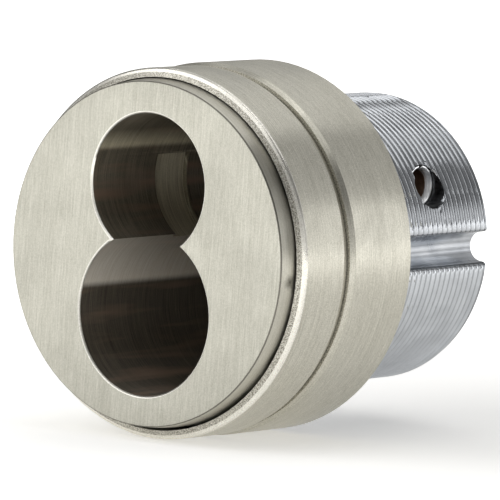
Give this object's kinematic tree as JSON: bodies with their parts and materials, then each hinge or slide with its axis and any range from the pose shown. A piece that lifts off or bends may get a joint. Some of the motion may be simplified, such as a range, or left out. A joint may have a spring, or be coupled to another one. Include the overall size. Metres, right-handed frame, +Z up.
{
  "type": "mortise cylinder housing",
  "caption": "Mortise cylinder housing for an interchangeable core: figure-8 bore, sprung compression ring, blocking ring, keyway grooves and a turning cam at the back.",
  "frame": {"origin": "on the cylinder's axis, in the plane of the blocking ring's rear face, which lies against the door", "axes": "+Y along the cylinder's axis into the door, away from the face; +Z up, with the small lobe of the figure-8 opening at the top; +X to the right as seen from the face"},
  "size_m": [0.037, 0.0414, 0.037],
  "materials": {
    "satin_nickel": "brushed satin nickel plate on brass",
    "housing_nickel": "nickel plate on turned brass, brushed face, bright threaded body",
    "spring_steel": "bright spring steel",
    "driver_brass": "turned brass, nickel plated",
    "zinc_steel": "zinc plated steel"
  },
  "bodies": {
    "housing": {"cylinder_housing": "housing_nickel", "core_stop_pin": "spring_steel", "wave_spring": "spring_steel", "blocking_ring": "satin_nickel", "driver_washer": "spring_steel"},
    "compression_ring": {"compression_ring": "satin_nickel"},
    "cam": {"cam_driver": "driver_brass", "cam": "zinc_steel", "cam_screw_left": "zinc_steel", "cam_screw_right": "zinc_steel"}
  },
  "joints": [
    {"name": "compression_ring_slide", "type": "slide", "parent": "housing", "child": "compression_ring", "axis": [0, -1, 0], "range_m": [0, 0.0012], "stiffness_N_per_m": 5000, "deforming": ["wave_spring"]},
    {"name": "cam_turn", "type": "hinge", "parent": "housing", "child": "cam", "pos_m": [0, 0.01826, -0.0059], "axis": [0, -1, 0], "continuous": true}
  ]
}
